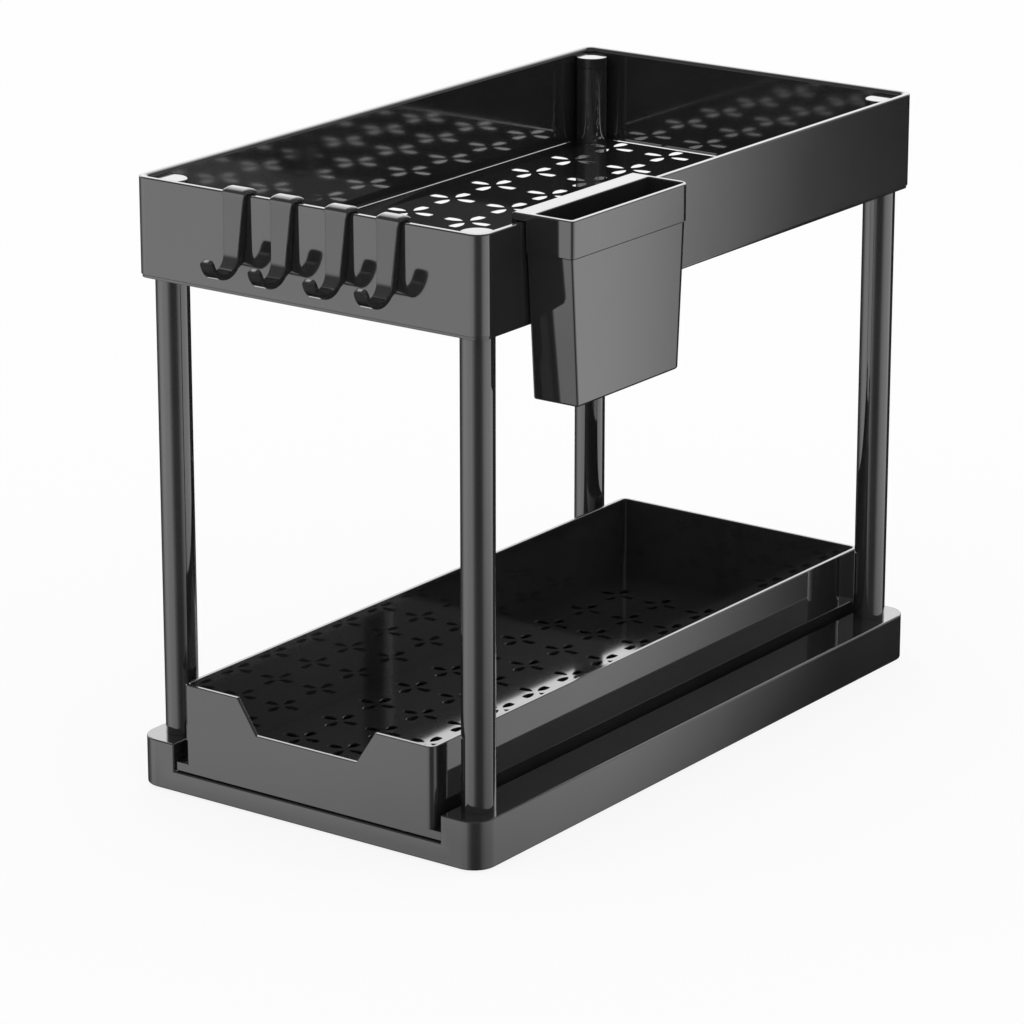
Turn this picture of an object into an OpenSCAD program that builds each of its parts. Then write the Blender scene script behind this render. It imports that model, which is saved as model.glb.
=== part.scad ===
// Two-tier under sink organizer: a moulded base with a pull-out drawer, four
// tube legs, an upper tray, a cup that hangs on the tray's side and four rim
// hooks. X is the width, -Y the front, Z up. The origin is the centre of the
// face that the organizer stands on.

/* [Overall] */
// Height of the upper tray's rim above the surface
overall_h = 311.3; // [240:0.1:440]

/* [Base] */
// Width of the base
base_w = 212; // [200:1:260]
// Depth of the base, front to back
base_d = 392; // [340:1:460]
// Height of the base above the surface
base_h = 25.8; // [23:0.1:34]
// Radius of the base's vertical corners
base_corner_r = 12; // [6:0.5:18]
// Thickness of the moulded base's walls
base_wall = 2.6; // [1.8:0.1:3.5]
// Width of the beam on each side of the drawer channel
side_beam = 23.3; // [22.5:0.1:40]
// Height of the drawer channel's floor above the surface
channel_z = 11.4; // [9:0.1:13]
// Thickness of the ribs under the channel's floor
rib_t = 1.8; // [1.2:0.1:3]
// Height of the ribs under the channel's floor
rib_h = 3; // [1:0.1:6]
// Greatest distance between ribs
rib_pitch = 50; // [30:1:80]
// Height of the two runner rails on the channel's floor
rail_h = 0.4; // [0.3:0.1:1.5]
// Width of a runner rail
rail_w = 3; // [2:0.5:6]
// Distance of a runner rail's centre from the side of the drawer
rail_inset = 18.5; // [12:0.5:40]
// Thickness of the beam behind the drawer
back_beam = 5.3; // [4:0.1:9]

/* [Feet] */
// Radius of a foot pad
foot_r = 7; // [5:0.5:9]
// Height of a foot pad
foot_h = 2.4; // [1.5:0.1:4]
// How far a foot pad stands out under the base
foot_proud = 0.8; // [0.5:0.1:1.2]
// Bevel round a foot pad's lower edge
foot_edge = 0.6; // [0.2:0.1:1.2]

/* [Legs] */
// Outer radius of a leg
leg_r = 8.4; // [7:0.1:9.5]
// Distance of a leg's centre from the side of the tray
leg_inset_x = 12; // [11:0.1:16]
// Distance of a leg's centre from the front or back of the tray
leg_inset_y = 13.6; // [12:0.1:20]
// Radius of the spigot at each end of a leg
spigot_r = 6.5; // [5:0.1:6.8]
// Radius of the bore through a leg
leg_bore_r = 4.7; // [3:0.1:5]
// Length of the spigot in the base
spigot_base_h = 17; // [10:0.5:18]
// Length of the spigot in the tray
spigot_tray_h = 28; // [12:0.5:34]

/* [Upper tray] */
// How far the tray's sides stand in from the base's
tray_inset_x = 2.2; // [0.5:0.1:6]
// How far the tray's front and back stand in from the base's
tray_inset_y = 5; // [0.5:0.1:10]
// Height of the tray's walls above its floor panel
tray_wall_h = 48.7; // [46:0.1:90]
// Thickness of the tray's walls
tray_wall = 4.2; // [2.5:0.1:5]
// Outer radius of the tray's corners
tray_corner_r = 7; // [5.5:0.1:12]
// Thickness of the tray's floor panel
tray_floor_t = 1.4; // [1:0.1:3]
// How far the floor panel's edge is set back under the walls
panel_setback = 0.6; // [0.3:0.1:1.5]
// How far the corner caps lie below the rim
cap_below_rim = 2.3; // [1:0.1:6]
// Height of a corner cap
cap_h = 5.5; // [3:0.1:10]
// Length of a cap's plug
cap_plug_h = 8; // [4:0.5:9]
// Bevel round a cap's top
cap_edge = 0.6; // [0.2:0.1:1.5]

/* [Perforation] */
// Pitch of the tray floor's flowers
tray_pitch = 36; // [30:0.5:60]
// Shift of the tray floor's flowers towards the back
tray_pattern_shift = 6; // [0:0.5:8]
// Reach of a tray flower's petals from its centre
tray_petal_reach = 13.4; // [8:0.1:14]
// Pitch of the drawer floor's flowers across the drawer
drawer_pitch_x = 28; // [24:0.5:50]
// Pitch of the drawer floor's flowers along the drawer
drawer_pitch_y = 31.2; // [24:0.1:50]
// Reach of a drawer flower's petals from its centre
drawer_petal_reach = 10.3; // [6:0.1:11]
// Plain strip at the front and back of the drawer's floor
drawer_plain_end = 14; // [5:0.5:30]

/* [Drawer] */
// Height of the drawer's rim above the surface
drawer_rim_z = 58.2; // [48:0.1:90]
// Thickness of the drawer's walls
drawer_wall = 2.2; // [1.5:0.1:3.5]
// Radius of the drawer's vertical corners
drawer_corner_r = 4; // [3:0.1:8]
// Width of the runner flange along each side
flange_w = 4.5; // [3:0.1:5]
// Height of the runner flange
flange_h = 4.2; // [2.5:0.1:6]
// Clearance between a flange and the side of the channel
flange_gap = 0.9; // [0.4:0.1:1.5]
// How far the drawer's front stands behind the front of the base
drawer_setback = 1.7; // [0:0.1:4]
// Clearance behind the drawer
drawer_back_gap = 0.6; // [0.3:0.1:3]
// Thickness of the drawer's floor panel
drawer_floor_t = 1.2; // [0.8:0.1:2.5]
// Height of the ledge that carries the drawer's floor panel
ledge_h = 1.1; // [0.5:0.1:1.5]
// Width of the ledge that carries the drawer's floor panel
ledge_w = 3.2; // [2:0.1:5]
// Width of the finger cut-out at the drawer's rim
pull_top_w = 85; // [60:1:110]
// Width of the finger cut-out at its bottom
pull_bottom_w = 62; // [40:1:80]
// Depth of the finger cut-out
pull_depth = 17.4; // [10:0.1:25]

/* [Hanging cup] */
// Length of the cup along the tray's side
cup_l = 96.2; // [70:0.1:140]
// Distance of the cup's middle from the front of the tray
cup_from_front = 81.6; // [76:0.1:300]
// Reach of the cup from the tray's side to its outer face
cup_reach = 27.7; // [20:0.1:45]
// Height of the cup, from its bottom to its rim
cup_h = 89.1; // [60:0.1:120]
// Height of the thicker band round the cup's rim
cup_band_h = 18.4; // [10:0.1:30]
// Step under the cup's band
cup_step = 0.7; // [0.3:0.1:1.5]
// How much each end of the cup tapers in towards the bottom
cup_taper = 4.9; // [0:0.1:8]
// How much the cup's back leans away from the tray towards the bottom
cup_lean = 2.1; // [0:0.1:4]
// How much the cup's outer face leans in towards the bottom
cup_face_lean = 0.3; // [0:0.1:3]
// Thickness of the cup's walls
cup_wall = 2.6; // [1.8:0.1:3.5]
// Thickness of the cup's bridge over the tray's rim
cup_bridge_t = 3.8; // [2:0.1:5]
// Thickness of the cup's wall next to the tray
cup_back_wall = 4.3; // [2.5:0.1:5]
// Length of the cup's clip inside the tray
cup_clip_h = 14; // [8:0.5:25]
// Radius of the cup's vertical corners
cup_corner_r = 1.6; // [1:0.1:4]

/* [Hooks] */
// Places of the four hooks' centres along the front rim
hook_places = [-39.3, -10.6, 22, 52.2]; // [-75:0.1:75]
// Width of a hook over the rim
hook_top_w = 13.6; // [10:0.1:18]
// Width of a hook at its bend
hook_low_w = 9; // [6:0.1:10]
// Thickness of a hook over the rim
hook_t = 2.6; // [1.8:0.1:4]
// Thickness of a hook just above its bend
hook_low_t = 5.2; // [3:0.1:7]
// Height of a hook's tip above the centre of its bend
hook_tip_h = 1.8; // [1:0.1:4]
// Inner radius of a hook's bend
hook_bend_r = 8.1; // [5:0.1:10]
// Thickness of a hook's bend
hook_bend_t = 2.9; // [2:0.1:4]
// Depth of the bend's centre below the rim
hook_drop = 27.9; // [20:0.1:33]
// Length of a hook's clip inside the tray
hook_clip_h = 12; // [8:0.5:20]
// Thickness of a hook's clip inside the tray
hook_clip_t = 2.2; // [2:0.1:4]
// Depth below the rim at which a hook's shoulders end
hook_shoulder_h = 2.3; // [1:0.1:6]
// How far a hook's shoulders are rounded off at each side
hook_shoulder_in = 0.7; // [0.3:0.1:2]
// Radius of a hook's bends over the rim
hook_round_r = 2.2; // [1:0.1:2.5]

/* [Clearances] */
// Gap between pieces that can be lifted or pulled apart
loose_gap = 0.3; // [0.2:0.05:0.6]
// Radial gap of a spigot, plug or pad in its socket
socket_gap = 0.1; // [0.05:0.05:0.3]

/* [Hidden] */
$fn = 64;
over = 1;
left = -1;
right = 1;
front = -1;
back = 1;
plastic = [0.13, 0.13, 0.135];
rubber = [0.05, 0.05, 0.05];

tray_w = base_w - 2 * tray_inset_x;
tray_d = base_d - 2 * tray_inset_y;
leg_x = tray_w / 2 - leg_inset_x;
leg_y = tray_d / 2 - leg_inset_y;
socket_r = spigot_r + socket_gap;

tray_z = overall_h - tray_wall_h;
leg_top_z = tray_z - tray_floor_t;
tray_in_x = tray_w / 2 - tray_wall;
tray_in_y = tray_d / 2 - tray_wall;
post_h = tray_wall_h - cap_below_rim - cap_h;

// A petal's proportions, as shares of the flower's reach
petal_start = 0.19;
petal_wide = 0.39;
petal_end = 1.27;

drawer_z = channel_z + rail_h + loose_gap;
drawer_front = -base_d / 2 + drawer_setback;
drawer_back = base_d / 2 - back_beam - drawer_back_gap;
drawer_d = drawer_back - drawer_front;
drawer_mid = (drawer_back + drawer_front) / 2;
drawer_floor_z = drawer_z + ledge_h;
channel_half = base_w / 2 - side_beam;
flange_half = channel_half - flange_gap;
drawer_w = 2 * (flange_half - flange_w);
channel_back = base_d / 2 - back_beam;
rail_x = drawer_w / 2 - rail_inset;
rail_l = channel_back + base_d / 2 - 2 * base_wall;

boss_r = max(socket_r, foot_r) + base_wall;
centre_boss_r = foot_r + base_wall;

cup_y = -tray_d / 2 + cup_from_front;
cup_in_x = tray_w / 2 + loose_gap;
cup_out_x = tray_w / 2 + cup_reach;
cup_top_z = overall_h + loose_gap + cup_bridge_t;
cup_bottom_z = cup_top_z - cup_h;
cup_band_z = cup_top_z - cup_band_h;
cup_clip_x = tray_in_x - loose_gap;

hook_y = -tray_d / 2;
hook_bend_u = hook_low_t + loose_gap + hook_bend_r;

// Flat shape of a rectangle with round corners
module rounded_rect(w, d, r) {
    square([w - 2 * r, d], center = true);
    square([w, d - 2 * r], center = true);
    for (sx = [left, right], sy = [front, back])
        translate([sx * (w / 2 - r), sy * (d / 2 - r)])
            circle(r);
}

// Copies its children to the four leg places
module at_legs() {
    for (sx = [left, right], sy = [front, back])
        translate([sx * leg_x, sy * leg_y])
            children();
}

// One petal along +X: a leaf between two arcs, cut blunt by the flower's edge
module petal(reach) {
    start = petal_start * reach;
    long = petal_end * reach - start;
    wide = petal_wide * reach;
    arc_r = (long * long / 4 + wide * wide / 4) / wide;
    intersection() {
        translate([start + long / 2, arc_r - wide / 2])
            circle(arc_r);
        translate([start + long / 2, wide / 2 - arc_r])
            circle(arc_r);
        circle(reach);
    }
}

// Four petals in a cross
module flower(reach) {
    for (turn = [0:90:270])
        rotate(turn)
            petal(reach);
}

// Centred rows and columns of flowers that fit inside a field
module flower_field(field_w, field_d, pitch_x, pitch_y, reach) {
    columns = floor((field_w - 2 * reach) / pitch_x) + 1;
    rows = floor((field_d - 2 * reach) / pitch_y) + 1;
    for (i = [0:columns - 1], j = [0:rows - 1])
        translate([(i - (columns - 1) / 2) * pitch_x, (j - (rows - 1) / 2) * pitch_y])
            flower(reach);
}

// Ribs across and along the underside of the channel's floor
module rib_grid() {
    grid_w = 2 * channel_half + base_wall;
    grid_d = base_d - base_wall;
    nx = ceil(grid_w / rib_pitch);
    ny = ceil(grid_d / rib_pitch);
    translate([0, 0, channel_z - base_wall - rib_h])
        linear_extrude(rib_h + base_wall / 2) {
            for (i = [1:nx - 1])
                translate([(i - nx / 2) * grid_w / nx, 0])
                    square([rib_t, grid_d], center = true);
            for (j = [1:ny - 1])
                translate([0, (j - ny / 2) * grid_d / ny])
                    square([grid_w, rib_t], center = true);
        }
}

// Room for the drawer between the two side beams
module channel_room() {
    translate([-channel_half, -base_d / 2 - over, channel_z])
        cube([2 * channel_half, base_d / 2 + over + channel_back, base_h]);
}

// Two low rails on the channel's floor that the drawer slides on
module runner_rails() {
    for (side = [left, right])
        translate([side * rail_x - rail_w / 2, -base_d / 2 + base_wall, channel_z - base_wall / 2])
            cube([rail_w, rail_l, rail_h + base_wall / 2]);
}

// Hollow under the channel floor and inside the side and back beams
module underside_hollow() {
    hollow_w = base_w - 2 * base_wall;
    hollow_d = base_d - 2 * base_wall;
    hollow_r = base_corner_r - base_wall;
    difference() {
        translate([0, 0, -over])
            linear_extrude(base_h - base_wall + over)
                rounded_rect(hollow_w, hollow_d, hollow_r);
        translate([-channel_half - base_wall, -base_d / 2, channel_z - base_wall])
            cube([2 * (channel_half + base_wall), base_d / 2 + channel_back + base_wall, base_h]);
    }
}

// Bosses that hold the legs' spigots above and the foot pads below
module base_bosses() {
    translate([0, 0, foot_proud])
        linear_extrude(base_h - foot_proud)
            at_legs()
                circle(boss_r);
    translate([0, 0, foot_proud])
        cylinder(h = channel_z - foot_proud - base_wall / 2, r = centre_boss_r);
}

module base_frame() {
    inner_w = base_w - base_wall;
    inner_d = base_d - base_wall;
    inner_r = base_corner_r - base_wall / 2;
    color(plastic)
        difference() {
            union() {
                difference() {
                    translate([0, 0, foot_proud])
                        linear_extrude(base_h - foot_proud)
                            rounded_rect(base_w, base_d, base_corner_r);
                    underside_hollow();
                }
                intersection() {
                    union() {
                        rib_grid();
                        base_bosses();
                    }
                    linear_extrude(base_h)
                        rounded_rect(inner_w, inner_d, inner_r);
                }
            }
            difference() {
                channel_room();
                runner_rails();
            }
            translate([0, 0, base_h - spigot_base_h - socket_gap])
                linear_extrude(spigot_base_h + over)
                    at_legs()
                        circle(socket_r);
            linear_extrude(foot_h) {
                at_legs()
                    circle(foot_r + socket_gap);
                circle(foot_r + socket_gap);
            }
        }
}

// Rubber pad with a bevelled lower edge
module foot_pad(x, y) {
    color(rubber)
        translate([x, y, 0]) {
            cylinder(h = foot_edge, r1 = foot_r - foot_edge, r2 = foot_r);
            translate([0, 0, foot_edge])
                cylinder(h = foot_h - foot_edge, r = foot_r);
        }
}

// Tube with a narrower spigot at each end
module leg(side, end) {
    color(plastic)
        translate([side * leg_x, end * leg_y, 0])
            difference() {
                union() {
                    translate([0, 0, base_h])
                        cylinder(h = leg_top_z - base_h, r = leg_r);
                    translate([0, 0, base_h - spigot_base_h])
                        cylinder(h = leg_top_z - base_h + spigot_base_h + spigot_tray_h, r = spigot_r);
                }
                cylinder(h = overall_h, r = leg_bore_r);
            }
}

module tray_floor() {
    floor_w = tray_w - 2 * panel_setback;
    floor_d = tray_d - 2 * panel_setback;
    color(plastic)
        translate([0, 0, leg_top_z])
            linear_extrude(tray_floor_t)
                difference() {
                    rounded_rect(floor_w, floor_d, tray_corner_r - panel_setback);
                    at_legs()
                        circle(socket_r);
                    translate([0, tray_pattern_shift])
                        flower_field(2 * tray_in_x, 2 * tray_in_y - 2 * tray_pattern_shift,
                            tray_pitch, tray_pitch, tray_petal_reach);
                }
}

// Corner fill between a post and the two walls beside it
module corner_fill() {
    fill_w = tray_w / 2 - leg_x;
    fill_d = tray_d / 2 - leg_y;
    intersection() {
        rounded_rect(tray_w - tray_wall, tray_d - tray_wall, tray_corner_r - tray_wall / 2);
        for (sx = [left, right], sy = [front, back])
            translate([sx * (leg_x + fill_w / 2), sy * (leg_y + fill_d / 2)])
                square([fill_w, fill_d], center = true);
    }
}

module upper_tray() {
    in_r = tray_corner_r - tray_wall;
    color(plastic)
        translate([0, 0, tray_z])
            difference() {
                union() {
                    linear_extrude(tray_wall_h)
                        difference() {
                            rounded_rect(tray_w, tray_d, tray_corner_r);
                            rounded_rect(2 * tray_in_x, 2 * tray_in_y, in_r);
                        }
                    linear_extrude(post_h) {
                        at_legs()
                            circle(leg_r);
                        corner_fill();
                    }
                }
                translate([0, 0, -over])
                    linear_extrude(tray_wall_h)
                        at_legs()
                            circle(socket_r);
            }
}

// Flat-topped plug that closes a corner post, cut flat beside the tray's wall
module cap(side, end) {
    flat = tray_in_x - leg_x - socket_gap;
    color(plastic)
        translate([side * leg_x, end * leg_y, tray_z + post_h])
            difference() {
                union() {
                    cylinder(h = cap_h - cap_edge, r = leg_r);
                    translate([0, 0, cap_h - cap_edge])
                        cylinder(h = cap_edge, r1 = leg_r, r2 = leg_r - cap_edge);
                    translate([0, 0, -cap_plug_h])
                        cylinder(h = cap_plug_h + over, r = spigot_r);
                }
                translate([side * (flat + leg_r), 0, 0])
                    cube([2 * leg_r, 4 * leg_r, 4 * cap_h], center = true);
            }
}

// Finger cut-out in the drawer's front wall
module pull_cut() {
    translate([0, drawer_front - over, drawer_rim_z])
        rotate([-90, 0, 0])
            linear_extrude(drawer_corner_r + over)
                polygon([
                    [-pull_top_w / 2, 0], [-pull_top_w / 2, -over], [pull_top_w / 2, -over],
                    [pull_top_w / 2, 0], [pull_bottom_w / 2, pull_depth], [-pull_bottom_w / 2, pull_depth]
                ]);
}

module drawer() {
    in_w = drawer_w - 2 * drawer_wall;
    in_d = drawer_d - 2 * drawer_wall;
    in_r = drawer_corner_r - drawer_wall;
    color(plastic)
        translate([0, drawer_mid, 0])
            difference() {
                union() {
                    translate([0, 0, drawer_z])
                        linear_extrude(drawer_rim_z - drawer_z)
                            rounded_rect(drawer_w, drawer_d, drawer_corner_r);
                    translate([-flange_half, -drawer_d / 2, drawer_z])
                        cube([2 * flange_half, drawer_d, flange_h]);
                }
                translate([0, 0, drawer_floor_z])
                    linear_extrude(drawer_rim_z)
                        rounded_rect(in_w, in_d, in_r);
                linear_extrude(drawer_rim_z)
                    rounded_rect(in_w - 2 * ledge_w, in_d - 2 * ledge_w, in_r);
                translate([0, -drawer_mid, 0])
                    pull_cut();
            }
}

module drawer_floor() {
    in_w = drawer_w - 2 * drawer_wall;
    in_d = drawer_d - 2 * drawer_wall;
    in_r = drawer_corner_r - drawer_wall;
    color(plastic)
        translate([0, drawer_mid, drawer_floor_z])
            linear_extrude(drawer_floor_t)
                difference() {
                    rounded_rect(in_w - 2 * socket_gap, in_d - 2 * socket_gap, in_r - socket_gap);
                    flower_field(in_w - 2 * ledge_w, in_d - 2 * drawer_plain_end,
                        drawer_pitch_x, drawer_pitch_y, drawer_petal_reach);
                }
}

// Level slab of the cup between two X values, with round corners
module cup_slab(x_in, x_out, half_l, z, h) {
    translate([(x_in + x_out) / 2, cup_y, z])
        linear_extrude(h)
            rounded_rect(x_out - x_in, 2 * half_l, cup_corner_r, $fn = 32);
}

module side_cup() {
    half = cup_l / 2;
    low_half = half - cup_step - cup_taper;
    low_in = cup_in_x + cup_lean;
    low_out = cup_out_x - cup_step - cup_face_lean;
    hollow_in = cup_in_x + cup_back_wall;
    hollow_out = cup_out_x - cup_wall;
    clip_x = cup_clip_x - cup_wall;
    color(plastic)
        difference() {
            union() {
                cup_slab(cup_in_x, cup_out_x, half, cup_band_z, cup_band_h);
                hull() {
                    cup_slab(cup_in_x, cup_out_x - cup_step, half - cup_step, cup_band_z, over);
                    cup_slab(low_in, low_out, low_half, cup_bottom_z, over);
                }
                translate([clip_x, cup_y - half, cup_top_z - cup_bridge_t])
                    cube([cup_in_x + cup_wall - clip_x, cup_l, cup_bridge_t]);
                translate([clip_x, cup_y - half, cup_top_z - cup_bridge_t - cup_clip_h])
                    cube([cup_wall, cup_l, cup_clip_h + over]);
            }
            hull() {
                cup_slab(hollow_in, hollow_out, half - cup_wall, cup_band_z, cup_band_h + over);
                cup_slab(low_in + cup_back_wall, low_out - cup_wall, low_half - cup_wall,
                    cup_bottom_z + cup_wall, over);
            }
        }
}

// Side view of a hook without its tip: first value outwards from the tray's
// face, second up from the rim
module hook_profile() {
    top = loose_gap + hook_t;
    round_z = top - hook_round_r;
    clip_u = -tray_wall - loose_gap - hook_clip_t;
    strip_u = loose_gap + hook_t - hook_round_r;
    bend_out = hook_bend_r + hook_bend_t;
    bend_in_z = -hook_drop - hook_low_t;
    bend_low = [hook_bend_u - bend_out * cos(45), -hook_drop - bend_out * sin(45)];
    difference() {
        union() {
            translate([clip_u, -hook_clip_h])
                square([strip_u - clip_u, hook_clip_h + round_z]);
            translate([clip_u + hook_round_r, round_z])
                circle(hook_round_r);
            translate([clip_u + hook_round_r, round_z])
                square([strip_u - clip_u - hook_round_r, hook_round_r]);
            translate([strip_u, round_z])
                circle(hook_round_r);
        }
        translate([clip_u + hook_clip_t, -hook_clip_h - over])
            square([tray_wall + 2 * loose_gap, hook_clip_h + over + loose_gap]);
    }
    polygon([
        [loose_gap, loose_gap], [strip_u + hook_round_r, round_z], [loose_gap + hook_low_t, -hook_drop],
        [loose_gap, bend_in_z]
    ]);
    difference() {
        union() {
            polygon([
                [loose_gap, -hook_drop], [hook_bend_u, -hook_drop], [hook_bend_u, -hook_drop - bend_out],
                bend_low, [loose_gap, bend_in_z]
            ]);
            intersection() {
                translate([hook_bend_u, -hook_drop])
                    circle(bend_out);
                translate([loose_gap, -hook_drop - bend_out])
                    square([hook_bend_u + bend_out, bend_out]);
            }
        }
        translate([hook_bend_u, -hook_drop])
            circle(hook_bend_r);
    }
}

// Front view of a hook, widest over the rim
module hook_outline() {
    top_half = hook_top_w / 2;
    low_half = hook_low_w / 2;
    waist_half = top_half - hook_shoulder_in;
    top = loose_gap + hook_t;
    narrow_z = hook_shoulder_in - hook_drop;
    bottom = -hook_drop - hook_bend_r - hook_bend_t;
    polygon([
        [-top_half, top], [-top_half, 0], [-waist_half, -hook_shoulder_h], [-low_half, narrow_z],
        [-low_half, bottom], [low_half, bottom], [low_half, narrow_z], [waist_half, -hook_shoulder_h],
        [top_half, 0], [top_half, top]
    ]);
}

// Round-ended tip of a hook above its bend
module hook_tip() {
    tip_r = hook_low_w / 2;
    root = hook_bend_t / 4;
    translate([0, -hook_bend_u - hook_bend_r, -hook_drop])
        rotate([90, 0, 0])
            linear_extrude(hook_bend_t)
                intersection() {
                    translate([0, hook_tip_h - tip_r])
                        circle(tip_r);
                    translate([-tip_r, -root])
                        square([2 * tip_r, hook_tip_h + root]);
                }
}

module hook(place) {
    reach = hook_bend_u + hook_bend_r + hook_bend_t;
    clip_reach = tray_wall + 2 * hook_clip_t;
    color(plastic)
        translate([place, hook_y, overall_h]) {
            intersection() {
                rotate([90, 0, -90])
                    linear_extrude(hook_top_w, center = true)
                        hook_profile();
                translate([0, clip_reach, 0])
                    rotate([90, 0, 0])
                        linear_extrude(clip_reach + reach + over)
                            hook_outline();
            }
            hook_tip();
        }
}

base_frame();
foot_pad(-leg_x, -leg_y);  // foot_front_left
foot_pad(leg_x, -leg_y);  // foot_front_right
foot_pad(-leg_x, leg_y);  // foot_back_left
foot_pad(leg_x, leg_y);  // foot_back_right
foot_pad(0, 0);  // foot_centre
leg(left, front);  // leg_front_left
leg(right, front);  // leg_front_right
leg(left, back);  // leg_back_left
leg(right, back);  // leg_back_right
tray_floor();
upper_tray();
cap(left, front);  // cap_front_left
cap(right, front);  // cap_front_right
cap(left, back);  // cap_back_left
cap(right, back);  // cap_back_right
drawer();
drawer_floor();
side_cup();
hook(hook_places[0]);  // hook_1
hook(hook_places[1]);  // hook_2
hook(hook_places[2]);  // hook_3
hook(hook_places[3]);  // hook_4
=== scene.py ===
"""Under sink organizer in glossy black plastic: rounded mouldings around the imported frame."""

import math

import bmesh
import bpy
from mathutils import Matrix, Vector


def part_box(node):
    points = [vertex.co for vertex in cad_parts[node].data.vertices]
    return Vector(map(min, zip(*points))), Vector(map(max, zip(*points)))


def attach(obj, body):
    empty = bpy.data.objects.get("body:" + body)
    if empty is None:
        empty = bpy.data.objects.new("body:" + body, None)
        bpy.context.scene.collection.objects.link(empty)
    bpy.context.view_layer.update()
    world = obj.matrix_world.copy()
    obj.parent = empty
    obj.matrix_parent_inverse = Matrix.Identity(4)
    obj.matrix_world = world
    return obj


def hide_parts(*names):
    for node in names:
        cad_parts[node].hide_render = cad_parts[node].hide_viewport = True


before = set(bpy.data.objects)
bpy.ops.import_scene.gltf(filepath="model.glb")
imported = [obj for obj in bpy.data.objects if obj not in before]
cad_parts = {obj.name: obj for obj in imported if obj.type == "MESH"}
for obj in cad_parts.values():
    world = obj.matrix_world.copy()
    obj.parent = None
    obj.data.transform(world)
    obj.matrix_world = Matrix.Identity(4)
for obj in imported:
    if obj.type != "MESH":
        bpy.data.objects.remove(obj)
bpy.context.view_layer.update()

MM = 0.001

# Tolerances for picking: near a place, at a place, a sharp edge, and the upward share of a
# normal below which a face stands and above which it is level
NEAR = 0.1 * MM
AT = 0.01 * MM
SHARP = math.radians(35)
STANDING, LEVEL = 0.5, 0.99

# Tray: its walls, its rim's two roundings and the caps in its posts
TRAY_CORNER = 7.0 * MM
TRAY_WALL = 4.2 * MM
TRAY_RIM = 2.0 * MM
TRAY_EDGE = 0.8 * MM
TRAY_SOFT = 0.35 * MM
POST_SOFT = 0.4 * MM
CAP_THICK = 5.5 * MM
CAP_SOFT = 0.5 * MM

# Perforated floors: sheet, cells under the flowers, slits along the walls
HOLE_EDGE = 0.1 * MM
FLOOR_CORNER = TRAY_CORNER - 0.6 * MM
FLOOR_SOFT = 0.7 * MM
FLOOR_SHEET = 0.35 * MM
FLOOR_RIM = 1.0 * MM
CELL_RIB = 1.6 * MM
CELL_CORNER = 2.0 * MM
SIDE_SLIT = 1.4 * MM
END_SLIT = 4.0 * MM
SIDE_STRIP = 3.0 * MM
SLIT_HALF_X = 81 * MM
SLIT_HALF_Y = 167 * MM

# Flowers: reach of a petal, count and step of the columns and rows, first row's distance
TRAY_FLOWER = 13.4 * MM
TRAY_COLUMNS, TRAY_ROWS = 5, 10
TRAY_STEP = 36 * MM
DRAWER_FLOWER = 10.3 * MM
DRAWER_COLUMNS, DRAWER_ROWS = 5, 11
DRAWER_STEP_X, DRAWER_STEP_Y = 28 * MM, 31.2 * MM
FIRST_ROW = 156 * MM
PETAL_START, PETAL_END, PETAL_WIDTH = 0.19, 1.27, 0.42

# Base: channel, rails, ribs and bosses
BASE_CORNER = 12.0 * MM
BASE_WALL = 2.6 * MM
BASE_SOFT = 0.8 * MM
CHANNEL_HALF = 82.7 * MM
CHANNEL_FLOOR = 11.4 * MM
CHANNEL_BACK = 190.7 * MM
RAIL_HEIGHT = 0.4 * MM
RAIL_WIDTH = 3.0 * MM
RAIL_X = 58.8 * MM
RAIL_SOFT = 0.3 * MM
RIB = 1.8 * MM
RIB_HEIGHT = 3.0 * MM
CELLS_ACROSS, CELLS_ALONG = 4, 8
BOSS_RADIUS = 9.6 * MM
PLAY = 0.1 * MM
PAD_SOFT = 0.6 * MM

# Legs
LEG_RADIUS = 8.4 * MM
SPIGOT_RADIUS = 6.5 * MM
SOCKET_RADIUS = 6.6 * MM
LEG_BORE = 4.7 * MM
LEG_SOFT = 0.4 * MM

# Drawer
DRAWER_WALL = 2.2 * MM
DRAWER_CORNER = 4.0 * MM
DRAWER_EDGE = 0.5 * MM
FLANGE_WIDTH = 4.5 * MM
FLANGE_HEIGHT = 4.2 * MM
LEDGE_WIDTH = 3.2 * MM
LEDGE_HEIGHT = 1.1 * MM
NOTCH_TOP_HALF = 42.5 * MM
NOTCH_BOTTOM_HALF = 31 * MM
NOTCH_DEPTH = 17.4 * MM
NOTCH_CUT = 3.0 * MM

# Cup: drawn a little deeper and longer than its solid, as in the photograph
CUP_DEEPER = 0.9 * MM
CUP_LONGER = 1.5 * MM
CUP_GAP = 0.3 * MM
CUP_BAND = 18.4 * MM
CUP_STEP = 0.7 * MM
CUP_TAPER = 4.9 * MM
CUP_LEAN = 0.4 * MM
CUP_PIVOT = 0.3 * MM
CUP_WALL = 2.6 * MM
CUP_BACK_WALL = 4.3 * MM
CUP_FAR_CORNER = 6.5 * MM
CUP_CORNER = 2.0 * MM
CUP_ROOM_CORNER = 1.0 * MM
CUP_BOTTOM_EDGE = 1.2 * MM
CUP_ROOM_EDGE = 0.8 * MM
CUP_BAND_EDGE = 0.55 * MM
CUP_RIM_EDGE = 0.6 * MM
CUP_BRIDGE = 3.8 * MM
CUP_CLIP = 17.8 * MM
CUP_CLIP_TOP = 3.0 * MM
CUP_CLIP_EDGE = 1.5 * MM
CUP_CLIP_SOFT = 0.5 * MM

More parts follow.
